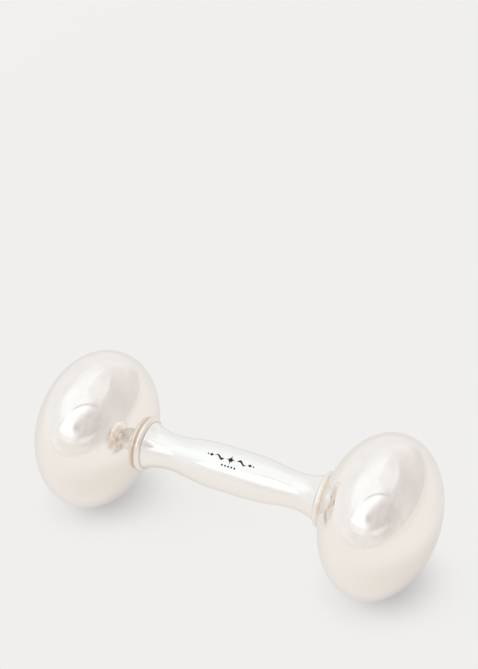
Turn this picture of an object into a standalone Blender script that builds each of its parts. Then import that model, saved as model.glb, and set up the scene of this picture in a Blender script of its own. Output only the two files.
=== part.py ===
"""Baby rattle of the dumbbell kind, in sterling silver: two hollow flattened heads, each struck as two
domes and soldered at its widest line, on a hollow baluster handle struck as two halves. A turned collar
bead covers each neck, a flanged spigot inside it ties head and handle together, and loose steel pellets
roll inside the heads. The rattle lies on its two heads. +X runs along the handle, +Z is up, and the
origin is on the surface that it lies on, under the middle of the handle. Units are metres."""

import math

import bmesh
import bpy
from mathutils import Matrix, Vector

MM = 0.001

# Heads: spheroids that are round about the handle's axis and flattened along it.
HEAD_RADIUS = 22.0 * MM
HEAD_HALF_WIDTH = 15.2 * MM
HEAD_CENTRE = 41.3 * MM  # from the middle of the handle
HEAD_WALL = 0.5 * MM
SEAM_LAND = 0.75 * MM  # half the width of the straight band at a head's widest line

# Handle: a baluster, widest in the middle and at both ends.
HANDLE_MIDDLE_RADIUS = 6.2 * MM
HANDLE_NECK_RADIUS = 4.9 * MM
HANDLE_NECK_AT = 17.6 * MM  # from the middle of the handle
HANDLE_END_RADIUS = 6.4 * MM
HANDLE_END_AT = 24.8 * MM
HANDLE_WALL = 0.6 * MM
SWELL_POWER = 1.8  # how long the middle stays full before it falls to the neck
FLARE_POWER = 2.35  # how late the handle widens again towards its ends

# Collar beads and the spigots that pass through them.
BEAD_RADIUS = 7.7 * MM  # at the crest
BEAD_ROUND = 0.75 * MM  # radius of the bead's edge
SPIGOT_RADIUS = 3.6 * MM
SPIGOT_BORE = 1.0 * MM
SPIGOT_REACH = 3.6 * MM  # how far a spigot enters the handle
FLANGE_RADIUS = 6.0 * MM
FLANGE_THICKNESS = 0.8 * MM
SPIGOT_CHAMFER = 0.4 * MM

# Pellets: a row of planes across each head, one for each pellet.
PELLETS_PER_HEAD = 6
PELLET_RADIUS = 1.7 * MM
PELLET_SPACING = 3.8 * MM
PELLET_CLEARANCE = 0.5 * MM  # between a pellet and the wall that it rolls along

GAP = 0.3 * MM  # between neighbours that touch in the real object
SEGMENTS = 32
SPIGOT_SEGMENTS = 24
DOME_STEPS = 9
HANDLE_STEPS = 16
BEAD_STEPS = 6
SEAT_STEPS = 3
HALVINGS = 40
SMOOTH_ANGLE = math.radians(35)
MERGE_DISTANCE = 1e-7


def clear_scene():
    for obj in list(bpy.data.objects):
        bpy.data.objects.remove(obj, do_unlink=True)


def metal(name, colour, roughness):
    material = bpy.data.materials.new(name)
    material.use_nodes = True
    shader = material.node_tree.nodes["Principled BSDF"]
    shader.inputs["Base Color"].default_value = (*colour, 1.0)
    shader.inputs["Roughness"].default_value = roughness
    shader.inputs["Metallic"].default_value = 1.0
    return material


def head_silver():
    return metal("head_silver", (0.93, 0.90, 0.87), 0.10)


def handle_silver():
    return metal("handle_silver", (0.93, 0.91, 0.88), 0.14)


def collar_silver():
    return metal("collar_silver", (0.90, 0.86, 0.81), 0.18)


def spigot_silver():
    return metal("spigot_silver", (0.82, 0.80, 0.77), 0.35)


def pellet_steel():
    return metal("pellet_steel", (0.56, 0.57, 0.58), 0.25)


def empty(name, parent=None, location=(0.0, 0.0, 0.0), turn=0.0):
    """An empty that carries pieces, turned about +Z."""
    obj = bpy.data.objects.new(name, None)
    bpy.context.scene.collection.objects.link(obj)
    obj.parent = parent
    obj.location = location
    obj.rotation_euler = (0.0, 0.0, turn)
    return obj


def finished_mesh(name, bm):
    """The bmesh as a named mesh, with its normals out and its round faces smooth."""
    bmesh.ops.recalc_face_normals(bm, faces=bm.faces)
    mesh = bpy.data.meshes.new(name)
    bm.to_mesh(mesh)
    bm.free()
    mesh.shade_smooth()
    mesh.set_sharp_from_angle(angle=SMOOTH_ANGLE)
    return mesh


def place(name, mesh, material, parent):
    obj = bpy.data.objects.new(name, mesh)
    bpy.context.scene.collection.objects.link(obj)
    obj.parent = parent
    if not mesh.materials:
        mesh.materials.append(material)
    return obj


def turned(outline, segments=SEGMENTS):
    """A closed outline of (along the axis, radius) points, turned about the X axis. The middles of the flats
    touch the true circle, and one flat faces straight down, so a round piece rests on a real flat."""
    half_step = math.pi / segments
    widen = 1.0 / math.cos(half_step)
    start = Matrix.Rotation(half_step, 3, "X")
    bm = bmesh.new()
    points = [bm.verts.new(start @ Vector((along, 0.0, radius * widen))) for along, radius in outline]
    edges = [bm.edges.new((a, b)) for a, b in zip(points, points[1:] + points[:1])]
    bmesh.ops.spin(
        bm,
        geom=points + edges,
        cent=(0.0, 0.0, 0.0),
        axis=(1.0, 0.0, 0.0),
        angle=math.tau,
        steps=segments,
        use_merge=True,
    )
    bmesh.ops.remove_doubles(bm, verts=bm.verts, dist=MERGE_DISTANCE)
    return bm


def spheroid_at(radius, inset=0.0):
    """How far from a head's centre its outer surface is, at a radius from the axis. inset moves the
    surface in by that much."""
    share = radius / (HEAD_RADIUS - inset)
    return (HEAD_HALF_WIDTH - inset) * math.sqrt(max(0.0, 1.0 - share * share))


def meridian(inset, hole_radius):
    """Points from the straight band at a head's widest line to its pole, or to the edge of a hole there."""
    width, radius = HEAD_HALF_WIDTH - inset, HEAD_RADIUS - inset
    first = math.acos(SEAM_LAND / width)
    last = math.asin(hole_radius / radius)
    points = [(GAP / 2, radius), (SEAM_LAND, radius)]
    for step in range(1, DOME_STEPS + 1):
        angle = first + (last - first) * step / DOME_STEPS
        points.append((width * math.cos(angle), radius * math.sin(angle)))
    return points


def dome_mesh(name, side, hole_radius):
    """Half a head: a thin shell from the seam to the pole on that side, with a hole there if it has one."""
    outline = meridian(0.0, hole_radius) + meridian(HEAD_WALL, hole_radius)[::-1]
    return finished_mesh(name, turned([(side * along, radius) for along, radius in outline]))


def bead_outline():
    """The collar bead, in its head's coordinates: its head side follows the dome, its edge is round, and its
    handle side is flat."""
    bore = SPIGOT_RADIUS + GAP
    handle_side = HEAD_CENTRE - HANDLE_END_AT - GAP
    shoulder = BEAD_RADIUS - BEAD_ROUND
    seat = [bore + (shoulder - bore) * step / SEAT_STEPS for step in range(SEAT_STEPS + 1)]
    points = [(-spheroid_at(radius) - GAP, radius) for radius in seat]
    reach = (handle_side + points[-1][0]) / 2
    middle = (points[-1][0] - handle_side) / 2
    for step in range(1, BEAD_STEPS):
        angle = math.pi * step / BEAD_STEPS
        points.append((middle + reach * math.cos(angle), shoulder + BEAD_ROUND * math.sin(angle)))
    return points + [(-handle_side, shoulder), (-handle_side, bore)]


def spigot_outline():
    """The spigot, in its head's coordinates: a flange inside the head and a tube out into the handle."""
    flange_face = -spheroid_at(FLANGE_RADIUS, HEAD_WALL) + GAP
    flange_back = flange_face + FLANGE_THICKNESS
    tip = -(HEAD_CENTRE - HANDLE_END_AT) - SPIGOT_REACH
    return [
        (flange_back, SPIGOT_BORE),
        (flange_back, FLANGE_RADIUS),
        (flange_face, FLANGE_RADIUS),
        (flange_face, SPIGOT_RADIUS),
        (tip + SPIGOT_CHAMFER, SPIGOT_RADIUS),
        (tip, SPIGOT_RADIUS - SPIGOT_CHAMFER),
        (tip, SPIGOT_BORE),
    ]


def handle_radius(along):
    """The handle's outer radius at a distance from its middle."""
    distance = abs(along)
    if distance <= HANDLE_NECK_AT:
        fall = math.cos(math.pi * (distance / HANDLE_NECK_AT) ** SWELL_POWER)
        return HANDLE_NECK_RADIUS + (HANDLE_MIDDLE_RADIUS - HANDLE_NECK_RADIUS) * (1 + fall) / 2
    share = (distance - HANDLE_NECK_AT) / (HANDLE_END_AT - HANDLE_NECK_AT)
    return HANDLE_NECK_RADIUS + (HANDLE_END_RADIUS - HANDLE_NECK_RADIUS) * share**FLARE_POWER


def handle_outline():
    """The handle's wall in section. Its points lie closer together towards the ends, where it curves most."""
    turns = [math.pi * (step / HANDLE_STEPS - 0.5) for step in range(HANDLE_STEPS + 1)]
    stations = [HANDLE_END_AT * math.sin(turn) for turn in turns]
    outer = [(along, handle_radius(along)) for along in stations]
    inner = [(along, radius - HANDLE_WALL) for along, radius in outer]
    return outer + inner[::-1]


def handle_half_mesh(name, side):
    """The handle's shell above (side 1) or below (side -1) the level seam through its axis."""
    bm = turned(handle_outline())
    bmesh.ops.bisect_plane(
        bm,
        geom=bm.verts[:] + bm.edges[:] + bm.faces[:],
        plane_co=(0.0, 0.0, side * GAP / 2),
        plane_no=(0.0, 0.0, side),
        clear_inner=True,
    )
    bmesh.ops.holes_fill(bm, edges=[edge for edge in bm.edges if edge.is_boundary], sides=0)
    return finished_mesh(name, bm)


def pellet_path_radius(along):
    """How far from the axis a pellet's centre runs, in the plane at a distance from the head's centre, when
    it rolls round the inside of the wall. Found by halving: the centre is the wall's point moved in."""
    width, radius = HEAD_HALF_WIDTH - HEAD_WALL, HEAD_RADIUS - HEAD_WALL
    inward = PELLET_RADIUS + PELLET_CLEARANCE

    def centre(angle):
        normal = Vector((math.cos(angle) / width, math.sin(angle) / radius)).normalized()
        return Vector((width * math.cos(angle), radius * math.sin(angle))) - inward * normal

    low, high = 0.0, math.pi / 2
    for _ in range(HALVINGS):
        angle = (low + high) / 2
        if centre(angle).x > abs(along):
            low = angle
        else:
            high = angle
    return centre((low + high) / 2).y


def pellet_mesh(name, along):
    """A steel ball at the bottom of its path round the head's axis, with its origin on that axis."""
    bm = bmesh.new()
    bmesh.ops.create_icosphere(
        bm,
        subdivisions=2,
        radius=PELLET_RADIUS,
        matrix=Matrix.Translation((along, 0.0, -pellet_path_radius(along))),
    )
    return finished_mesh(name, bm)


def build_head(side_name, parent, metals):
    """One end of the rattle: a head, its spigot, its collar bead and its pellets."""
    outer_dome = dome_mesh("outer_dome", 1, 0.0)
    inner_dome = dome_mesh("inner_dome", -1, SPIGOT_RADIUS + GAP)
    spigot = finished_mesh("spigot", turned(spigot_outline(), SPIGOT_SEGMENTS))
    bead = finished_mesh("collar_bead", turned(bead_outline()))
    place(f"{side_name}_head_outer_dome", outer_dome, metals["head"], parent)
    place(f"{side_name}_head_inner_dome", inner_dome, metals["head"], parent)
    place(f"{side_name}_neck_spigot", spigot, metals["spigot"], parent)
    place(f"{side_name}_collar_bead", bead, metals["collar"], parent)
    for number in range(PELLETS_PER_HEAD):
        along = (number - (PELLETS_PER_HEAD - 1) / 2) * PELLET_SPACING
        ball = pellet_mesh("pellet", along)
        place(f"{side_name}_pellet_{number + 1}", ball, metals["pellet"], parent)


def build_handle(parent):
    silver = handle_silver()
    place("handle_upper_half", handle_half_mesh("handle_upper", 1), silver, parent)
    place("handle_lower_half", handle_half_mesh("handle_lower", -1), silver, parent)


def main():
    clear_scene()
    axis = empty("rattle_axis", location=(0.0, 0.0, HEAD_RADIUS))
    metals = {
        "head": head_silver(),
        "spigot": spigot_silver(),
        "collar": collar_silver(),
        "pellet": pellet_steel(),
    }
    build_handle(axis)
    build_head("right", empty("right_end", axis, (HEAD_CENTRE, 0.0, 0.0)), metals)
    build_head("left", empty("left_end", axis, (-HEAD_CENTRE, 0.0, 0.0), math.pi), metals)


main()
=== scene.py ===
"""The looks of the silver baby rattle: every CAD node gets a finely turned piece in polished silver, lit as
in a small white light tent that opens towards the front. Units are metres, and +X runs along the handle."""

import math

import bmesh
import bpy
from mathutils import Matrix, Vector, noise
from mathutils.geometry import tessellate_polygon


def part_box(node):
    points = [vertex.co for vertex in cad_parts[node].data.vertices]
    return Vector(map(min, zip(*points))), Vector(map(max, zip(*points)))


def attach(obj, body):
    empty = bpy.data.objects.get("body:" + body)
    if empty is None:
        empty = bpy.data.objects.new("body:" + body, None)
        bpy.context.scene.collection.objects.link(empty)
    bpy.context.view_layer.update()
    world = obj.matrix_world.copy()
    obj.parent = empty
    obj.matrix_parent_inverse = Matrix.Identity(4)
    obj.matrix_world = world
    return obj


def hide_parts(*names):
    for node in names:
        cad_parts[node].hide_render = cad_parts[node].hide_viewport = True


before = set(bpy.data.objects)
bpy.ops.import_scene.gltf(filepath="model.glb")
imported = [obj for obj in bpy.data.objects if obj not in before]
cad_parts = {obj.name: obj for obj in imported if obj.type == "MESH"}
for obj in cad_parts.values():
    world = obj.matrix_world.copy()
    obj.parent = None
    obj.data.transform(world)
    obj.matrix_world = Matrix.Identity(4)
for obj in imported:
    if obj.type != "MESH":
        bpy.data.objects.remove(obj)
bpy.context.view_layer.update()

MM = 0.001

# Sizes that come from the frame.
outer_low, outer_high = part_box("right_head_outer_dome")
_, inner_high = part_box("right_head_inner_dome")
_, handle_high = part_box("handle_upper_half")
AXIS_HEIGHT = (outer_low.z + outer_high.z) / 2
HEAD_RADIUS = (outer_high.z - outer_low.z) / 2
HEAD_CENTRE = (outer_low.x + inner_high.x) / 2
HEAD_HALF_WIDTH = outer_high.x - HEAD_CENTRE
HANDLE_END_RADIUS = handle_high.z - AXIS_HEIGHT

# Heads and handle, beyond what the frame's boxes give.
HEAD_WALL = 0.5 * MM
HANDLE_WALL = 0.6 * MM
HANDLE_MIDDLE_RADIUS = 6.2 * MM
HANDLE_NECK_RADIUS = 4.9 * MM
HANDLE_NECK_AT = 17.6 * MM
HANDLE_FLARE_AT = 24.8 * MM
HANDLE_END_AT = 25.05 * MM
FILLET_RADIUS = 0.18 * MM  # of the solder between handle and bead
SWELL_POWER = 1.8
FLARE_POWER = 2.35

# Collar beads and spigots.
BEAD_CENTRE = 26.0 * MM
BEAD_RING_RADIUS = 6.75 * MM
BEAD_ROUND = 0.93 * MM
SPIGOT_RADIUS = 3.6 * MM
SPIGOT_BORE = 1.0 * MM
SPIGOT_REACH = 3.6 * MM
FLANGE_RADIUS = 6.0 * MM
FLANGE_THICKNESS = 0.8 * MM
EDGE_ROUND = 0.25 * MM
FIT_GAP = 0.02 * MM

# Grooves beside a bead, from the middle of the rattle and from its axis, with how dark each one is.
GROOVES = ((25.05 * MM, 6.6 * MM, 0.5), (26.93 * MM, 7.1 * MM, 0.12))
GROOVE_CORE = 0.05 * MM
GROOVE_REACH = 0.4 * MM

# Engraved ornament on the handle: a star between wavy strokes, lozenges and dots, over a short row of dots.
# Each AT is how far along from the star's middle the shape lies.
ORNAMENT_AT = 0.05 * MM
ORNAMENT_TILT = math.radians(23)  # from the top of the handle towards the front
ENGRAVING_DEPTH = 0.12 * MM
STAR_POINTS = 8
STAR_RADIUS = 1.35 * MM
STAR_SHORT_ARM = 0.62 * STAR_RADIUS
STAR_WAIST = 0.5 * MM
STROKE_FROM = 1.75 * MM
STROKE_TO = 4.75 * MM
STROKE_WIDTH = 0.7 * MM
STROKE_SWAY = 0.45 * MM
STROKE_STEPS = 24
LOZENGE_AT = 5.5 * MM
LOZENGE_HALF = (0.6 * MM, 0.45 * MM)
END_DOT_AT = 6.5 * MM
END_DOT_RADIUS = 0.22 * MM
ROW_DOTS = 5
ROW_PITCH = 0.9 * MM
ROW_BELOW = 1.95 * MM
ROW_DOT_RADIUS = 0.27 * MM

# The loose pellets in each head, and the share of a pellet's radius that wear has taken off on average.
PELLETS_EACH = 6
PELLET_WEAR = 0.015

# How finely the pieces are cut up.
SEGMENTS = 192
SPIGOT_SEGMENTS = 96
DOME_STEPS = 72
HANDLE_STEPS = 140
CREST_STEPS = 32
SEAT_STEPS = 8
FILLET_STEPS = 8
EDGE_STEPS = 6
DOT_STEPS = 23
SHARP_ANGLE = math.radians(40.0)

# The camera looks from the front and the right, above the rattle. Its direction is in degrees, as in
# direction_to.
CAMERA_AZIMUTH = 25.55
CAMERA_ELEVATION = 40.3
CAMERA_DISTANCE = 0.4127
CAMERA_LENS = 83.77
CAMERA_TILT_UP = math.radians(5.02)
CAMERA_PAN = math.radians(-0.16)

# Tints of the silver besides those that build_rattle gives, and the heights, or the distances from the middle
# of something, between which each tint comes or goes. The neck reflection, the flank and underside shade and
# the lighter foot are painted light; the tarnish lies in the grooves.
EDGE_TINT = (0.895, 0.895, 0.90, 1.0)  # seen at a glancing angle, but for the very foot of a head, which keeps a white one as painted light
TARNISH = (0.62, 0.54, 0.44, 1.0)
TARNISH_ROUGHNESS = 0.25  # on top of the polish's own
# painted reflection of the far head and handle by the left neck: its tint, middle and reach
NECK_REFLECTION_TINT = (0.77, 0.67, 0.58, 1.0)
NECK_REFLECTION_AT = (11.9 * MM - HEAD_CENTRE, -10.2 * MM, AXIS_HEIGHT + 8.2 * MM)
NECK_REFLECTION_SPAN = (2.2 * MM, 4.6 * MM)
# painted shade on each head's lower right flank, the reflection of the table's shade
FLANK_SPAN = (-7.0 * MM, 13.0 * MM)
FLANK_TOP = (20.0 * MM, 28.0 * MM)
FLANK_FOOT = (6.0 * MM, 18.0 * MM)
# painted shade under the handle and beads
UNDERSIDE_SPAN = (15.0 * MM, 26.0 * MM)
BEAD_BACK_SPAN = (25.9 * MM, 26.7 * MM)
# painted light: below these heights a head's glancing reflection grows lighter
PAINTED_LIGHT_FOOT_SPAN = (3.0 * MM, 14.0 * MM)
HAIR_DEPTH = 0.002 * MM  # of the finest scratches

# The light tent. Angles are in degrees. Azimuth 0 is the front, -Y, and grows towards +X. A panel is its
# middle and half size as (azimuth, elevation), how soft its edge is, and its colour. A span is the two angles
# between which something comes or goes.
TENT_WALL = (0.885, 0.900, 0.915)
TENT_TOP = (0.968, 1.005, 1.025)
TENT_TOP_SPAN = (35, 72)
TENT_PANELS = (
    ((-52, 52), (30, 20), 0.4, (0.985, 1.03, 1.05)),
    ((125, 25), (35, 45), 0.4, (0.82, 0.80, 0.80)),
    ((150, 4), (19, 11), 0.5, (0.75, 0.735, 0.74)),
    ((100, 20), (38, 34), 0.5, (0.72, 0.705, 0.71)),
    ((35, 7), (60, 10), 0.4, (0.82, 0.81, 0.805)),
)
CEILING = (0.90, 0.915, 0.925)
CEILING_SPAN = (44, 50)
CEILING_FROM = (60, 100)
CEILING_TO = (125, 178)
ARCH_MIDDLE = (24, 3)
ARCH_LIGHT = (1.12, 1.17, 1.20)
ARCH_OPENING = (59, 62)
ARCH_LIP = (18, 26)
ARCH_RIM = (0.71, 0.70, 0.70)
ARCH_RIM_SPANS = ((61.5, 63.5), (64, 66))
ARCH_RIM_START = (-32, -8)
ROOM_PANELS = (
    ((4, 17), (30, 4), 0.35, (0.93, 0.93, 0.92)),
    ((54, 31), (36, 24), 0.4, (0.735, 0.715, 0.72)),
    ((64, 20), (22, 17), 0.8, (0.65, 0.63, 0.63)),
    ((16, 36), (7, 6), 0.8, (0.66, 0.64, 0.64)),
    ((37, 14), (22, 4), 0.6, (0.85, 0.845, 0.84)),
)
CLUTTER_PATCH = ((56, 30), (42, 28), 0.3)

FLOOR_HALF = 4.0
FLOOR_COLOUR = (0.871, 0.863, 0.847)
# How the table's painted light changes along x to its left and right, and along y to its front: from, to,
# and the light at each of the two.
FLOOR_LEFT = (-0.45, -0.14, 1.05, 1.0)
FLOOR_RIGHT = (0.12, 0.40, 1.0, 0.94)
FLOOR_FRONT = (-0.27, -0.23, 0.955, 1.0)
PAINTED_SHADOW_AIM = (-0.175, -0.06, 0.225)  # the point that the table's painted shadow is aimed from; no lamp stands there
SHADE_REACH = 0.06
SHADE_FULL = 0.0  # how open the table is where the painted shade is darkest, and where it has gone
SHADE_NONE = 0.65
SHADE_DARKEST = (0.66, 0.53)  # at the left head and at the right one
SHADE_TURN = 0.75 * HEAD_CENTRE  # how far to each side of the middle the one gives way to the other
CONTACT_REACH = 0.014  # of the soft painted shade close round the heads
CONTACT_DARKEST = 0.77
CONTACT_NONE = 0.8


# ---------------------------------------------------------------- node trees


class Nodes:
    """Short calls that add nodes to one tree and join them. A value is a number, a vector or a socket."""

    def __init__(self, tree):
        self.tree = tree
        tree.nodes.clear()

    def add(self, kind, inputs=None, **settings):
        node = self.tree.nodes.new(kind)
        for name, value in settings.items():
            setattr(node, name, value)
        for name, value in (inputs or {}).items():
            self.put(node.inputs[name], value)
        return node

    def put(self, socket, value):
        if isinstance(value, bpy.types.NodeSocket):
            self.tree.links.new(value, socket)
        else:
            socket.default_value = value

    def math(self, operation, *values):
        return self.add("ShaderNodeMath", dict(enumerate(values)), operation=operation).outputs[0]

    def split(self, place):
        """The x, y and z of a place."""
        return self.add("ShaderNodeSeparateXYZ", {"Vector": place}).outputs

    def length(self, first, second):
        """The length of the step that goes first one way and second across it."""
        squares = (self.math("POWER", first, 2.0), self.math("POWER", second, 2.0))
        return self.math("SQRT", self.math("ADD", *squares))

    def vector(self, operation, *values, output=0):
        return self.add("ShaderNodeVectorMath", dict(enumerate(values)), operation=operation).outputs[output]

    def fade(self, value, low, high, start=0.0, end=1.0):
        """start where value is under low, end where it is over high, and smooth between them."""
        node = self.add(
            "ShaderNodeMapRange",
            {"Value": value, "From Min": low, "From Max": high, "To Min": start, "To Max": end},
            interpolation_type="SMOOTHSTEP",
        )
        return node.outputs["Result"]

    def fade_angle(self, angle, span, start=0.0, end=1.0):
        """fade of an angle over a span in degrees."""
        return self.fade(angle, math.radians(span[0]), math.radians(span[1]), start, end)

    def noise(self, place, scale, detail=2.0, roughness=0.5):
        inputs = {"Vector": place, "Scale": scale, "Detail": detail, "Roughness": roughness}
        return self.add("ShaderNodeTexNoise", inputs).outputs["Fac"]

    def blend(self, share, first, second):
        """A colour that goes from first to second as share goes from 0 to 1."""
        node = self.add("ShaderNodeMix", {"Factor": share}, data_type="RGBA")
        self.put(node.inputs[6], first)
        self.put(node.inputs[7], second)
        return node.outputs[2]


# ---------------------------------------------------------------- materials


def groove_shade(nodes, place):
    """1 in the grooves on both sides of a collar bead, where polish never reaches, and 0 away from them."""
    x, y, z = nodes.split(place)
    along = nodes.math("ABSOLUTE", x)
    radius = nodes.length(y, nodes.math("SUBTRACT", z, AXIS_HEIGHT))
    shade = 0.0
    for groove_at, groove_radius, strength in GROOVES:
        off_along = nodes.math("SUBTRACT", along, groove_at)
        apart = nodes.length(off_along, nodes.math("SUBTRACT", radius, groove_radius))
        shade = nodes.math("MAXIMUM", nodes.fade(apart, GROOVE_CORE, GROOVE_REACH, strength, 0.0), shade)
    return shade


def neck_painted_reflection(nodes, place):
    """Up to 1, in blotches, on a spot in front of the left neck and above it: a painted reflection of the far
    head and handle.
    """
    near = nodes.fade(nodes.vector("DISTANCE", place, NECK_REFLECTION_AT, output=1), *NECK_REFLECTION_SPAN, 1.0, 0.0)
    blotches = nodes.fade(nodes.noise(place, 700.0, 4.0), 0.35, 0.65, 0.4, 1.0)
    return nodes.math("MULTIPLY", near, blotches)


def flank_painted_shade(nodes, place):
    """1 on the lower part of a head's right flank, and 0 over the rest of the head. The darker tint there is
    painted shade, the reflection of the table's shade.
    """
    x, _, z = nodes.split(place)
    centre = nodes.math("MULTIPLY", nodes.math("SIGN", x), HEAD_CENTRE)
    right = nodes.fade(nodes.math("SUBTRACT", x, centre), *FLANK_SPAN)
    below_top = nodes.fade(z, *FLANK_TOP, 1.0, 0.0)
    above_foot = nodes.fade(z, *FLANK_FOOT)
    return nodes.math("MULTIPLY", right, nodes.math("MULTIPLY", below_top, above_foot))


def underside_painted_shade(nodes, place):
    """1 under the handle and 0 on its top. The darker tint there is painted shade."""
    return nodes.fade(nodes.split(place)["Z"], *UNDERSIDE_SPAN, 1.0, 0.0)


def bead_back(nodes, place):
    """Up to 1, in blotches, on the side of a bead that faces its head, and less under the bead, where it is
    painted shade.
    """
    along = nodes.math("ABSOLUTE", nodes.split(place)["X"])
    blotches = nodes.fade(nodes.noise(place, 900.0, 3.0), 0.35, 0.65, 0.5, 1.0)
    back = nodes.math("MULTIPLY", nodes.fade(along, *BEAD_BACK_SPAN), blotches)
    return nodes.math("MAXIMUM", back, nodes.math("MULTIPLY", underside_painted_shade(nodes, place), 0.35))


def silver(name, light, warm, darker_tint, where_darker, smooth, rough, wave):
    """Polished silver. Its tint drifts between light and warm, and turns to a darker tint where the function
    given for it gives 1, which is painted shade on the heads' flanks and under the handle and beads. Its
    roughness has fine wipe marks, and its surface waves slightly. The painted reflection by the left neck and
    the tarnish in the grooves fall on any silver that is there."""
    material = bpy.data.materials.new(name)
    material.use_nodes = True
    nodes = Nodes(material.node_tree)
    place = nodes.add("ShaderNodeTexCoord").outputs["Object"]
    drift = nodes.fade(nodes.noise(place, 45.0, 2.0, 0.6), 0.35, 0.65)
    tint = nodes.blend(drift, (*light, 1.0), (*warm, 1.0))
    # darker, warmer tint where the mask gives 1: painted shade on the heads' flanks and under the handle and
    # beads
    tint = nodes.blend(where_darker(nodes, place), tint, (*darker_tint, 1.0))
    # painted reflection by the left neck
    tint = nodes.blend(neck_painted_reflection(nodes, place), tint, NECK_REFLECTION_TINT)
    groove = groove_shade(nodes, place)
    broken = nodes.math("MULTIPLY", groove, nodes.fade(nodes.noise(place, 900.0), 0.2, 0.6, 0.75, 1.0))
    colour = nodes.blend(broken, tint, TARNISH)

    wiped = nodes.vector("MULTIPLY", place, (1.0, 6.0, 6.0))
    hairs = nodes.noise(wiped, 700.0, 4.0, 0.65)
    smudge = nodes.noise(place, 120.0, 3.0, 0.55)
    marks = nodes.math("ADD", nodes.math("MULTIPLY", hairs, 0.5), nodes.math("MULTIPLY", smudge, 0.5))
    roughness = nodes.fade(marks, 0.35, 0.65, smooth, rough)
    roughness = nodes.math("ADD", roughness, nodes.math("MULTIPLY", groove, TARNISH_ROUGHNESS))

    waves = nodes.noise(place, 110.0, 2.0, 0.45)
    broad = nodes.add("ShaderNodeBump", {"Height": waves, "Strength": 1.0, "Distance": wave})
    fine = nodes.add(
        "ShaderNodeBump",
        {"Height": hairs, "Strength": 0.35, "Distance": HAIR_DEPTH, "Normal": broad.outputs["Normal"]},
    )
    # painted light: the foot of each head keeps a white glancing tint, so it reads lighter
    edge = nodes.blend(nodes.fade(nodes.split(place)["Z"], *PAINTED_LIGHT_FOOT_SPAN), (1.0, 1.0, 1.0, 1.0), EDGE_TINT)
    shader = nodes.add(
        "ShaderNodeBsdfPrincipled",
        {
            "Base Color": colour,
            "Roughness": roughness,
            "Metallic": 1.0,
            "Specular Tint": edge,
            "Normal": fine.outputs["Normal"],
        },
    )
    output = nodes.add("ShaderNodeOutputMaterial")
    nodes.tree.links.new(shader.outputs["BSDF"], output.inputs["Surface"])
    return material


def dull_metal(name, dark, light, scale, smooth, rough, grain):
    """Metal that was never polished: mottled from dark to light, with a grain in its surface."""
    material = bpy.data.materials.new(name)
    material.use_nodes = True
    nodes = Nodes(material.node_tree)
    place = nodes.add("ShaderNodeTexCoord").outputs["Object"]
    mottle = nodes.noise(place, scale, 5.0, 0.6)
    colour = nodes.blend(nodes.fade(mottle, 0.3, 0.7), (*dark, 1.0), (*light, 1.0))
    roughness = nodes.fade(nodes.noise(place, scale * 3.0, 3.0), 0.3, 0.7, smooth, rough)
    bump = nodes.add("ShaderNodeBump", {"Height": mottle, "Strength": 0.6, "Distance": grain})
    shader = nodes.add(
        "ShaderNodeBsdfPrincipled",
        {"Base Color": colour, "Roughness": roughness, "Metallic": 1.0, "Normal": bump.outputs["Normal"]},
    )
    output = nodes.add("ShaderNodeOutputMaterial")
    nodes.tree.links.new(shader.outputs["BSDF"], output.inputs["Surface"])
    return material


def floor_material():
    """A pale table that glows of itself, with painted light: a little brighter on the left and dimmer at the
    far right
    and front. Its only shade is painted: a shadow darkens its glow where the rattle closes it off towards a
    point at the upper left and close round the heads, and it fades out within a few centimetres."""
    material = bpy.data.materials.new("pale_table")
    material.use_nodes = True
    nodes = Nodes(material.node_tree)
    place = nodes.add("ShaderNodeTexCoord").outputs["Object"]
    grain = nodes.fade(nodes.noise(place, 400.0, 3.0), 0.3, 0.7, 0.9985, 1.0015)
    # painted shadow: how open the table is towards a point at the upper left darkens its glow
    towards_shadow_aim = nodes.vector("NORMALIZE", nodes.vector("SUBTRACT", PAINTED_SHADOW_AIM, place))
    occlusion = nodes.add(
        "ShaderNodeAmbientOcclusion",
        {"Distance": SHADE_REACH, "Normal": towards_shadow_aim},
        samples=16,
    )
    parts = nodes.split(place)
    darkest = nodes.fade(parts["X"], -SHADE_TURN, SHADE_TURN, *SHADE_DARKEST)
    painted_cast = nodes.fade(occlusion.outputs["AO"], SHADE_FULL, SHADE_NONE, darkest, 1.0)
    # painted contact shade close round the heads
    near = nodes.add("ShaderNodeAmbientOcclusion", {"Distance": CONTACT_REACH}, samples=16)
    contact = nodes.fade(near.outputs["AO"], SHADE_FULL, CONTACT_NONE, CONTACT_DARKEST, 1.0)
    strength = nodes.math("MULTIPLY", nodes.math("MULTIPLY", painted_cast, contact), grain)
    # painted light: brighter to the left, dimmer to the far right and front
    for axis, change in (("X", FLOOR_LEFT), ("X", FLOOR_RIGHT), ("Y", FLOOR_FRONT)):
        strength = nodes.math("MULTIPLY", strength, nodes.fade(parts[axis], *change))
    glow = nodes.add("ShaderNodeEmission", {"Color": (*FLOOR_COLOUR, 1.0), "Strength": strength})
    output = nodes.add("ShaderNodeOutputMaterial")
    nodes.tree.links.new(glow.outputs["Emission"], output.inputs["Surface"])
    return material


# ---------------------------------------------------------------- turned shapes


def rounded(centre, radius, start, end, steps=EDGE_STEPS):
    """Points on an arc in the (along, radius) plane, between two angles in degrees."""
    points = []
    for step in range(steps + 1):
        angle = math.radians(start + (end - start) * step / steps)
        points.append((centre[0] + radius * math.cos(angle), centre[1] + radius * math.sin(angle)))
    return points


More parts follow.
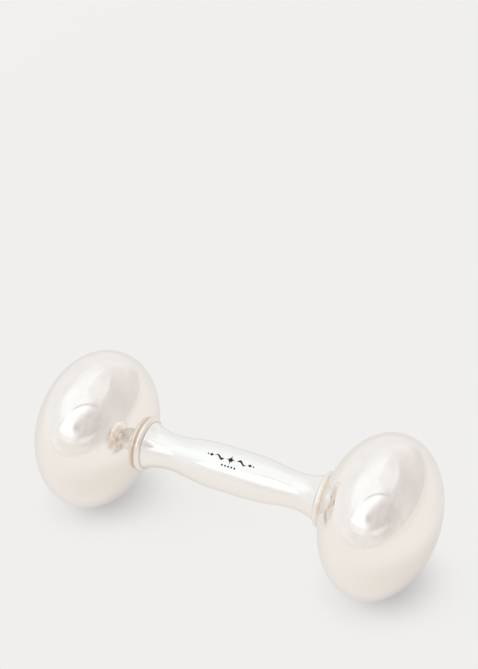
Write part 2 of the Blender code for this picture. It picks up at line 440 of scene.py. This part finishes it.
def turned(outline, segments=SEGMENTS):
    """A closed outline of (along, radius) points turned about the rattle's axis. A point on the axis makes
    one vertex, any other point a ring of them."""
    verts, rings, faces = [], [], []
    for along, radius in outline:
        count = segments if radius > 0.0 else 1
        rings.append(range(len(verts), len(verts) + count))
        for step in range(count):
            angle = math.tau * step / segments
            verts.append((along, radius * math.sin(angle), AXIS_HEIGHT + radius * math.cos(angle)))
    for first, second in zip(rings, rings[1:] + rings[:1]):
        for step in range(segments):
            ahead = (first[(step + 1) % len(first)], second[(step + 1) % len(second)])
            corners = (first[step % len(first)], *ahead, second[step % len(second)])
            corners = list(dict.fromkeys(corners))
            if len(corners) > 2:
                faces.append(corners)
    mesh = bpy.data.meshes.new("turned")
    mesh.from_pydata(verts, [], faces)
    bm = bmesh.new()
    bm.from_mesh(mesh)
    bpy.data.meshes.remove(mesh)
    return bm


def finished(name, bm, materials):
    """The bmesh as an object in the scene, with smooth round faces and crisp edges."""
    bmesh.ops.recalc_face_normals(bm, faces=bm.faces)
    mesh = bpy.data.meshes.new(name)
    bm.to_mesh(mesh)
    bm.free()
    mesh.shade_smooth()
    mesh.set_sharp_from_angle(angle=SHARP_ANGLE)
    for material in materials:
        mesh.materials.append(material)
    obj = bpy.data.objects.new(name, mesh)
    bpy.context.scene.collection.objects.link(obj)
    return obj


def spheroid_at(radius, inset=0.0):
    """How far from a head's centre its surface is, at a radius from the axis, moved in by inset."""
    share = radius / (HEAD_RADIUS - inset)
    return (HEAD_HALF_WIDTH - inset) * math.sqrt(max(0.0, 1.0 - share * share))


def meridian(inset, hole_radius):
    """Points from a head's widest line to its pole, or to the edge of a hole there."""
    width, radius = HEAD_HALF_WIDTH - inset, HEAD_RADIUS - inset
    first = math.asin(hole_radius / radius)
    points = []
    for step in range(DOME_STEPS + 1):
        angle = math.pi / 2 + (first - math.pi / 2) * step / DOME_STEPS
        points.append((width * math.cos(angle), radius * math.sin(angle)))
    return points


def head_dome(name, end, side, hole_radius, materials):
    """Half a head as a thin shell. end is the end of the rattle, side the way that the dome faces."""
    outer = meridian(0.0, hole_radius)
    inner = meridian(HEAD_WALL, hole_radius)[::-1]
    outline = [(end * (HEAD_CENTRE + side * along), radius) for along, radius in outer + inner]
    bm = turned(outline)
    for face in bm.faces:
        middle = face.calc_center_median() - Vector((end * HEAD_CENTRE, 0.0, AXIS_HEIGHT))
        reach = math.hypot(middle.x / HEAD_HALF_WIDTH, math.hypot(middle.y, middle.z) / HEAD_RADIUS)
        face.material_index = 0 if reach > 1.0 - 0.5 * HEAD_WALL / HEAD_RADIUS else 1
    return finished(name, bm, materials)


def handle_radius(along):
    """The handle's outer radius at a distance from its middle."""
    distance = abs(along)
    if distance <= HANDLE_NECK_AT:
        fall = math.cos(math.pi * (distance / HANDLE_NECK_AT) ** SWELL_POWER)
        return HANDLE_NECK_RADIUS + (HANDLE_MIDDLE_RADIUS - HANDLE_NECK_RADIUS) * (1 + fall) / 2
    share = (distance - HANDLE_NECK_AT) / (HANDLE_FLARE_AT - HANDLE_NECK_AT)
    return HANDLE_NECK_RADIUS + (HANDLE_END_RADIUS - HANDLE_NECK_RADIUS) * share**FLARE_POWER


def handle_outline():
    """The handle's wall, with a hollow fillet of solder at each end where it meets its bead."""
    last = HANDLE_END_AT - FILLET_RADIUS
    stations = [-last + 2 * last * step / HANDLE_STEPS for step in range(HANDLE_STEPS + 1)]
    outer = [(along, handle_radius(along)) for along in stations]
    inner = [(along, radius - HANDLE_WALL) for along, radius in outer]
    fillet = rounded((last, outer[-1][1] + FILLET_RADIUS), FILLET_RADIUS, -90, 0, FILLET_STEPS)[1:]
    end = fillet + [(HANDLE_END_AT, inner[-1][1])]
    return outer + end + inner[::-1] + [(-along, radius) for along, radius in end[::-1]]


def handle_half(name, side, materials):
    """The handle's shell above (side 1) or below (side -1) the level seam through its axis."""
    bm = turned(handle_outline())
    bmesh.ops.bisect_plane(
        bm,
        geom=bm.verts[:] + bm.edges[:] + bm.faces[:],
        plane_co=(0.0, 0.0, AXIS_HEIGHT),
        plane_no=(0.0, 0.0, side),
        clear_inner=True,
    )
    bmesh.ops.holes_fill(bm, edges=[edge for edge in bm.edges if edge.is_boundary], sides=0)
    for face in bm.faces:
        middle = face.calc_center_median()
        radius = math.hypot(middle.y, middle.z - AXIS_HEIGHT)
        face.material_index = 0 if radius > handle_radius(middle.x) - HANDLE_WALL / 2 else 1
    return finished(name, bm, materials)


def collar_bead(name, end, material):
    """The bead at a neck: a round crest, a flat side to the handle, and a side that follows the head."""
    centre = (BEAD_CENTRE, BEAD_RING_RADIUS)
    crest = rounded(centre, BEAD_ROUND, 180, -15, CREST_STEPS)
    bore = SPIGOT_RADIUS + FIT_GAP
    seat = []
    for step in range(SEAT_STEPS + 1):
        radius = crest[-1][1] + (bore - crest[-1][1]) * step / SEAT_STEPS
        seat.append((HEAD_CENTRE - spheroid_at(radius) - FIT_GAP, radius))
    outline = crest + seat[1:] + [(BEAD_CENTRE - BEAD_ROUND, bore)]
    return finished(name, turned([(end * along, radius) for along, radius in outline]), [material])


def neck_spigot(name, end, material):
    """A flange inside the head and a tube out into the handle, with broken edges."""
    face = HEAD_CENTRE - spheroid_at(FLANGE_RADIUS, HEAD_WALL) + FIT_GAP
    back = face + FLANGE_THICKNESS
    tip = HANDLE_FLARE_AT - SPIGOT_REACH
    tube_radius = SPIGOT_RADIUS - FIT_GAP
    outline = [(tip + EDGE_ROUND, SPIGOT_BORE), (tip, SPIGOT_BORE + EDGE_ROUND)]
    outline += rounded((tip + EDGE_ROUND, tube_radius - EDGE_ROUND), EDGE_ROUND, 180, 90)
    outline += rounded((face - EDGE_ROUND, tube_radius + EDGE_ROUND), EDGE_ROUND, -90, 0)
    outline += rounded((face + EDGE_ROUND, FLANGE_RADIUS - EDGE_ROUND), EDGE_ROUND, 180, 90)
    outline += rounded((back - EDGE_ROUND, FLANGE_RADIUS - EDGE_ROUND), EDGE_ROUND, 90, 0)
    outline += [(back, SPIGOT_BORE + EDGE_ROUND), (back - EDGE_ROUND, SPIGOT_BORE)]
    outline = [(end * along, radius) for along, radius in outline]
    return finished(name, turned(outline, SPIGOT_SEGMENTS), [material])


def pellet(name, node, seed, material):
    """A tumbled steel pellet: a ball with shallow flats and dents, in the place of its CAD node."""
    low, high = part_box(node)
    middle = (low + high) / 2
    radius = (high.z - low.z) / 2
    bm = bmesh.new()
    bmesh.ops.create_icosphere(bm, subdivisions=4, radius=radius)
    for vert in bm.verts:
        direction = vert.co.normalized()
        worn = noise.noise(direction * 1.7 + Vector((seed * 3.1, 0.0, seed)))
        vert.co = direction * radius * (1.0 - PELLET_WEAR * (1.0 - worn))
    bmesh.ops.translate(bm, verts=bm.verts, vec=middle)
    return finished(name, bm, [material])


# ---------------------------------------------------------------- engraving


def star_outline():
    """An eight-pointed star, in (along, across) points round its centre."""
    points = []
    for step in range(2 * STAR_POINTS):
        angle = math.pi * step / STAR_POINTS
        arm = STAR_RADIUS if step % 4 == 0 else STAR_SHORT_ARM
        reach = arm if step % 2 == 0 else STAR_WAIST
        points.append((reach * math.cos(angle), reach * math.sin(angle)))
    return points


def stroke_outline(side):
    """A wavy stroke that tapers to a point at both ends, fullest near the star."""
    above, below = [], []
    for step in range(STROKE_STEPS + 1):
        share = step / STROKE_STEPS
        half = STROKE_WIDTH / 2 * math.sin(math.pi * share**0.7)
        along = side * (STROKE_FROM + (STROKE_TO - STROKE_FROM) * share)
        across = side * STROKE_SWAY * math.sin(math.tau * share)
        above.append((along, across + half))
        below.append((along, across - half))
    return above + below[-2:0:-1]


def lozenge_outline(centre):
    half_length, half_width = LOZENGE_HALF
    right, left = centre + half_length, centre - half_length
    return [(right, 0.0), (centre, half_width), (left, 0.0), (centre, -half_width)]


def dot_outline(centre, radius):
    return rounded(centre, radius, 0, 345, DOT_STEPS)


def ornament_outlines():
    outlines = [star_outline()]
    for side in (1, -1):
        outlines.append(stroke_outline(side))
        outlines.append(lozenge_outline(side * LOZENGE_AT))
        outlines.append(dot_outline((side * END_DOT_AT, 0.0), END_DOT_RADIUS))
    for number in range(ROW_DOTS):
        along = (number - (ROW_DOTS - 1) / 2) * ROW_PITCH
        outlines.append(dot_outline((along, -ROW_BELOW), ROW_DOT_RADIUS))
    return outlines


def on_handle(along, across, lift):
    """A point above the handle's surface, from its place along the handle and round it."""
    radius = handle_radius(along)
    angle = ORNAMENT_TILT - across / radius
    outward = Vector((0.0, -math.sin(angle), math.cos(angle)))
    return Vector((along, 0.0, AXIS_HEIGHT)) + outward * (radius + lift)


def add_cutter(bm, outline):
    """A closed block over one engraved shape, from its floor to just above the surface."""
    low, high = (
        [bm.verts.new(on_handle(ORNAMENT_AT + along, across, lift)) for along, across in outline]
        for lift in (-ENGRAVING_DEPTH, ENGRAVING_DEPTH)
    )
    for first, second, above_first, above_second in zip(low, low[1:] + low[:1], high, high[1:] + high[:1]):
        bm.faces.new((first, second, above_second, above_first))
    for corners in tessellate_polygon([[Vector((along, across, 0.0)) for along, across in outline]]):
        bm.faces.new([low[corner] for corner in corners])
        bm.faces.new([high[corner] for corner in reversed(corners)])


def engrave(handle, dark):
    """Cuts the ornament into the handle. The cuts keep the dark finish that is rubbed into them."""
    bm = bmesh.new()
    for outline in ornament_outlines():
        add_cutter(bm, outline)
    cutter = finished("ornament_cutter", bm, [dark])
    cut = handle.modifiers.new("engraving", "BOOLEAN")
    cut.operation = "DIFFERENCE"
    cut.solver = "EXACT"
    cut.material_mode = "TRANSFER"
    cut.object = cutter
    depsgraph = bpy.context.evaluated_depsgraph_get()
    engraved = bpy.data.meshes.new_from_object(handle.evaluated_get(depsgraph))
    handle.modifiers.clear()
    handle.data = engraved
    bpy.data.objects.remove(cutter, do_unlink=True)
    restore_curve(engraved)


def handle_normal(place):
    """The true outward normal of the handle's surface at a point on it."""
    step = 0.01 * MM
    slope = (handle_radius(place.x + step) - handle_radius(place.x - step)) / (2 * step)
    outward = Vector((0.0, place.y, place.z - AXIS_HEIGHT)).normalized()
    return (outward - Vector((slope, 0.0, 0.0))).normalized()


def restore_curve(mesh):
    """Gives the polished faces round the engraving the smooth normals that they had before the cut."""
    normals = [Vector(corner.vector) for corner in mesh.corner_normals]
    for polygon in mesh.polygons:
        if polygon.material_index != 0 or abs(polygon.center.x) > HANDLE_END_AT - 2 * FILLET_RADIUS:
            continue
        for loop in polygon.loop_indices:
            normals[loop] = handle_normal(mesh.vertices[mesh.loops[loop].vertex_index].co)
    mesh.normals_split_custom_set(normals)


# ---------------------------------------------------------------- studio


def direction_to(azimuth, elevation):
    """A unit vector. Azimuth 0 is the front, -Y, and grows towards +X. Both angles are in degrees."""
    turn, rise = math.radians(azimuth), math.radians(elevation)
    return Vector((math.sin(turn) * math.cos(rise), -math.cos(turn) * math.cos(rise), math.sin(rise)))


def patch(nodes, azimuth, elevation, centre, size, softness):
    """1 inside an oval of directions and 0 outside it. centre and size are (azimuth, elevation) in
    degrees."""
    across = nodes.math("SUBTRACT", azimuth, math.radians(centre[0]))
    across = nodes.math("MULTIPLY", across, nodes.math("COSINE", elevation))
    across = nodes.math("DIVIDE", across, math.radians(size[0]))
    up = nodes.math("SUBTRACT", elevation, math.radians(centre[1]))
    up = nodes.math("DIVIDE", up, math.radians(size[1]))
    reach = nodes.length(across, up)
    return nodes.fade(reach, 1.0 - softness, 1.0 + softness, 1.0, 0.0)


def light_tent():
    """A white tent round the table. Its walls glow evenly, its top is brighter, and its arched opening at
    the front shows a soft light on the left and the dimmer room on the right."""
    world = bpy.data.worlds.new("light_tent")
    bpy.context.scene.world = world
    world.use_nodes = True
    nodes = Nodes(world.node_tree)
    direction = nodes.vector("NORMALIZE", nodes.add("ShaderNodeTexCoord").outputs["Generated"])
    x, y, z = nodes.split(direction)
    azimuth = nodes.math("ARCTAN2", x, nodes.math("MULTIPLY", y, -1.0))
    elevation = nodes.math("ARCSINE", z)

    rise = nodes.fade_angle(elevation, TENT_TOP_SPAN)
    colour = nodes.blend(rise, (*TENT_WALL, 1.0), (*TENT_TOP, 1.0))
    for centre, size, softness, tone in TENT_PANELS:
        colour = nodes.blend(patch(nodes, azimuth, elevation, centre, size, softness), colour, (*tone, 1.0))
    above = nodes.fade_angle(elevation, CEILING_SPAN)
    start = nodes.fade_angle(azimuth, CEILING_FROM)
    end = nodes.fade_angle(azimuth, CEILING_TO, 1.0, 0.0)
    ceiling = nodes.math("MULTIPLY", above, nodes.math("MULTIPLY", start, end))
    colour = nodes.blend(ceiling, colour, (*CEILING, 1.0))

    towards_arch = nodes.vector("DOT_PRODUCT", direction, direction_to(*ARCH_MIDDLE), output=1)
    from_arch = nodes.math("ARCCOSINE", towards_arch)
    opening = nodes.fade_angle(from_arch, ARCH_OPENING, 1.0, 0.0)
    above_lip = nodes.fade_angle(elevation, ARCH_LIP)
    colour = nodes.blend(nodes.math("MULTIPLY", opening, above_lip), colour, (*ARCH_LIGHT, 1.0))
    for centre, size, softness, tone in ROOM_PANELS:
        colour = nodes.blend(patch(nodes, azimuth, elevation, centre, size, softness), colour, (*tone, 1.0))
    rim_outer = nodes.fade_angle(from_arch, ARCH_RIM_SPANS[0])
    rim_inner = nodes.fade_angle(from_arch, ARCH_RIM_SPANS[1], 1.0, 0.0)
    rim_start = nodes.fade_angle(azimuth, ARCH_RIM_START)
    rim = nodes.math("MULTIPLY", nodes.math("MULTIPLY", rim_outer, rim_inner), rim_start)
    colour = nodes.blend(rim, colour, (*ARCH_RIM, 1.0))

    folds = nodes.fade(nodes.noise(direction, 3.5, 3.0, 0.55), 0.3, 0.7, 0.975, 1.02)
    in_room = patch(nodes, azimuth, elevation, *CLUTTER_PATCH)
    clutter = nodes.fade(nodes.noise(direction, 5.0, 4.0, 0.6), 0.35, 0.65, -0.05, 0.05)
    strength = nodes.math("ADD", folds, nodes.math("MULTIPLY", in_room, clutter))
    background = nodes.add("ShaderNodeBackground", {"Color": colour, "Strength": strength})
    output = nodes.add("ShaderNodeOutputWorld")
    nodes.tree.links.new(background.outputs["Background"], output.inputs["Surface"])


def floor():
    bm = bmesh.new()
    bmesh.ops.create_grid(bm, x_segments=8, y_segments=8, size=FLOOR_HALF)
    obj = finished("table", bm, [floor_material()])


def camera():
    """A long lens that looks down at the rattle, with the rattle low in the tall frame."""
    back = direction_to(CAMERA_AZIMUTH, CAMERA_ELEVATION)
    forward = -back
    right = forward.cross(Vector((0.0, 0.0, 1.0))).normalized()
    panned_right = math.cos(CAMERA_PAN) * right + math.sin(CAMERA_PAN) * forward
    ahead = -math.sin(CAMERA_PAN) * right + math.cos(CAMERA_PAN) * forward
    down = forward.cross(right).normalized()
    view = math.cos(CAMERA_TILT_UP) * ahead - math.sin(CAMERA_TILT_UP) * down
    up = panned_right.cross(view)
    data = bpy.data.cameras.new("camera")
    data.lens = CAMERA_LENS
    data.clip_start = 0.01
    obj = bpy.data.objects.new("camera", data)
    place = Vector((0.0, 0.0, AXIS_HEIGHT)) + back * CAMERA_DISTANCE
    obj.matrix_world = Matrix.Translation(place) @ Matrix((panned_right, up, -view)).transposed().to_4x4()
    bpy.context.scene.collection.objects.link(obj)
    bpy.context.scene.camera = obj


# ---------------------------------------------------------------- the rattle


def stands_for(piece, node, body):
    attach(piece, body)
    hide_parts(node)


def build_rattle():
    head = silver(
        "head_silver",
        light=(0.995, 0.945, 0.895),
        warm=(0.985, 0.935, 0.89),
        # painted shade on each head's lower right flank
        darker_tint=(0.886, 0.827, 0.765),
        where_darker=flank_painted_shade,
        smooth=0.05,
        rough=0.10,
        wave=0.05 * MM,
    )
    grip = silver(
        "handle_silver",
        light=(0.985, 0.962, 0.925),
        warm=(0.975, 0.945, 0.90),
        # painted shade under the handle
        darker_tint=(0.93, 0.872, 0.805),
        where_darker=underside_painted_shade,
        smooth=0.08,
        rough=0.16,
        wave=0.03 * MM,
    )
    collar = silver(
        "collar_silver",
        light=(0.97, 0.925, 0.865),
        warm=(0.94, 0.885, 0.81),
        # on the back of each bead, and as painted shade under it
        darker_tint=(0.88, 0.79, 0.67),
        where_darker=bead_back,
        smooth=0.08,
        rough=0.18,
        wave=0.01 * MM,
    )
    dark, light = (0.62, 0.59, 0.55), (0.78, 0.75, 0.71)
    inside = dull_metal("raw_silver", dark, light, 260.0, 0.4, 0.6, 0.02 * MM)
    dark, light = (0.03, 0.026, 0.024), (0.10, 0.085, 0.075)
    oxide = dull_metal("engraved_oxide", dark, light, 1500.0, 0.5, 0.8, 0.01 * MM)
    dark, light = (0.66, 0.63, 0.58), (0.84, 0.81, 0.77)
    tie_metal = dull_metal("spigot_silver", dark, light, 400.0, 0.25, 0.45, 0.01 * MM)
    dark, light = (0.45, 0.45, 0.46), (0.62, 0.62, 0.63)
    steel = dull_metal("pellet_steel", dark, light, 900.0, 0.18, 0.38, 0.01 * MM)

    for end, end_name in ((-1, "left"), (1, "right")):
        outer = head_dome(f"{end_name}_outer_dome", end, 1, 0.0, [head, inside])
        stands_for(outer, f"{end_name}_head_outer_dome", "shell")
        inner = head_dome(f"{end_name}_inner_dome", end, -1, SPIGOT_RADIUS + FIT_GAP, [head, inside])
        stands_for(inner, f"{end_name}_head_inner_dome", "shell")
        bead = collar_bead(f"{end_name}_bead", end, collar)
        stands_for(bead, f"{end_name}_collar_bead", "shell")
        tie = neck_spigot(f"{end_name}_spigot", end, tie_metal)
        stands_for(tie, f"{end_name}_neck_spigot", "shell")
        for number in range(1, PELLETS_EACH + 1):
            node = f"{end_name}_pellet_{number}"
            ball = pellet(f"{end_name}_tumbled_pellet_{number}", node, number + 10 * end, steel)
            stands_for(ball, node, node)

    upper = handle_half("handle_upper", 1, [grip, inside])
    engrave(upper, oxide)
    stands_for(upper, "handle_upper_half", "shell")
    lower = handle_half("handle_lower", -1, [grip, inside])
    stands_for(lower, "handle_lower_half", "shell")


camera()
light_tent()
floor()
build_rattle()
bpy.context.scene.view_settings.view_transform = "Standard"
